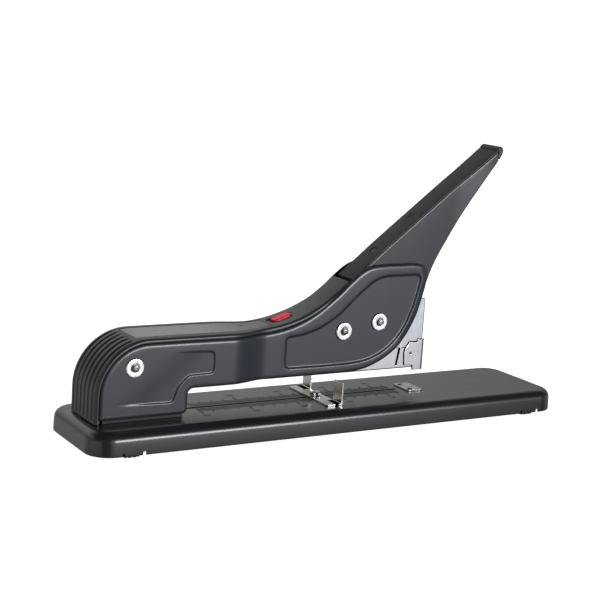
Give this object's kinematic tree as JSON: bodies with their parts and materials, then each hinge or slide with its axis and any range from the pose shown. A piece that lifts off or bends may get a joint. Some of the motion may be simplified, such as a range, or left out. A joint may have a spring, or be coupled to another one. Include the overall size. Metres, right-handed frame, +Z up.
{
  "type": "long-reach heavy-duty stapler",
  "caption": "Long-reach heavy-duty desk stapler: tray base with ruler deck and anvil, pivoting sheet-metal arm with bright driver head, and a raised lever handle.",
  "frame": {"origin": "middle of the base's length and width, on the plane that the rubber feet stand on", "axes": "+X from the heel towards the driver head, along the base; +Y to the left of someone facing +X; +Z up"},
  "size_m": [0.5, 0.109, 0.2618],
  "materials": {
    "base_paint": "gloss",
    "arm_paint": "satin",
    "cover_plastic": "satin",
    "grip_plastic": "fine grain",
    "bright_chrome": "polished",
    "plain_steel": "brushed",
    "dark_steel": "blackened",
    "spring_steel": "drawn wire",
    "red_plastic": "gloss",
    "foot_rubber": "matte"
  },
  "bodies": {
    "base": {"base_tray": "base_paint", "stiffener_bar": "dark_steel", "riser_bracket": "dark_steel", "riser_bolt_1": "plain_steel", "riser_bolt_2": "plain_steel", "riser_bolt_3": "plain_steel", "riser_bolt_4": "plain_steel", "anvil": "bright_chrome", "anvil_screw_1": "plain_steel", "anvil_screw_2": "plain_steel", "foot_rear_right": "foot_rubber", "foot_rear_left": "foot_rubber", "foot_front_right": "foot_rubber", "foot_front_left": "foot_rubber", "lift_spring": "spring_steel"},
    "arm": {"side_plate_right": "arm_paint", "side_plate_left": "arm_paint", "arm_cover": "cover_plastic", "rear_pivot_pin": "plain_steel", "rear_pivot_washer_right": "bright_chrome", "rear_pivot_washer_left": "bright_chrome", "tie_pin": "plain_steel", "tie_washer_right": "bright_chrome", "tie_washer_left": "bright_chrome", "handle_pivot_pin": "plain_steel", "handle_pivot_washer_right": "bright_chrome", "handle_pivot_washer_left": "bright_chrome", "tie_sleeve": "plain_steel", "handle_bush": "plain_steel", "spring_seat": "dark_steel", "magazine_channel": "bright_chrome", "head_housing": "bright_chrome", "magazine_carrier": "dark_steel", "handle_spring": "spring_steel", "latch_pin": "plain_steel", "button_spring_seat": "dark_steel", "button_spring": "spring_steel"},
    "handle": {"handle_channel": "arm_paint", "handle_cover": "grip_plastic", "cover_screw_1": "dark_steel", "cover_screw_2": "dark_steel", "grip_end_cap": "grip_plastic", "driver_lever": "plain_steel", "lever_pin": "plain_steel"},
    "driver": {"hammer_block": "plain_steel", "driver_blade": "plain_steel"},
    "drawer": {"nose_piece": "bright_chrome", "staple_rail": "plain_steel", "pusher_rod": "plain_steel", "follower_spring": "spring_steel"},
    "follower_body": {"follower": "cover_plastic"},
    "button": {"release_button": "red_plastic"},
    "latch": {"release_latch": "dark_steel"},
    "guide": {"paper_guide": "bright_chrome", "guide_screw": "plain_steel", "guide_shoe": "plain_steel"}
  },
  "joints": [
    {"name": "arm_tilt", "type": "hinge", "parent": "base", "child": "arm", "pos_m": [-0.2035, 0, 0.0715], "axis": [0, 1, 0], "range_deg": [0, 3.3], "stiffness_Nm_per_rad": 12, "springref_deg": -17.19, "deforming": ["lift_spring"]},
    {"name": "handle_press", "type": "hinge", "parent": "arm", "child": "handle", "pos_m": [0.0517, 0, 0.0957], "axis": [0, 1, 0], "range_deg": [0, 26], "stiffness_Nm_per_rad": 1.2, "springref_deg": -51.57, "deforming": ["handle_spring"]},
    {"name": "driver_slide", "type": "slide", "parent": "arm", "child": "driver", "axis": [0, 0, -1], "range_m": [0, 0.0216]},
    {"name": "drawer_slide", "type": "slide", "parent": "arm", "child": "drawer", "axis": [-1, 0, 0], "range_m": [-0.11, 0]},
    {"name": "follower_slide", "type": "slide", "parent": "drawer", "child": "follower_body", "axis": [-1, 0, 0], "range_m": [0, 0.092], "stiffness_N_per_m": 15, "springref_m": -0.05, "deforming": ["follower_spring"]},
    {"name": "button_press", "type": "slide", "parent": "arm", "child": "button", "axis": [0, 0, -1], "range_m": [0, 0.003], "stiffness_N_per_m": 300, "springref_m": -0.002, "deforming": ["button_spring"]},
    {"name": "latch_rock", "type": "hinge", "parent": "arm", "child": "latch", "pos_m": [-0.0355, 0, 0.0725], "axis": [0, -1, 0], "range_deg": [0, 19]},
    {"name": "guide_slide", "type": "slide", "parent": "base", "child": "guide", "axis": [1, 0, 0], "range_m": [-0.08, 0.078]}
  ],
  "couplings": [
    {"joint": "driver_slide", "follows": "handle_press", "m_per_rad": 0.04688},
    {"joint": "latch_rock", "follows": "button_press", "rad_per_m": 106.7}
  ]
}
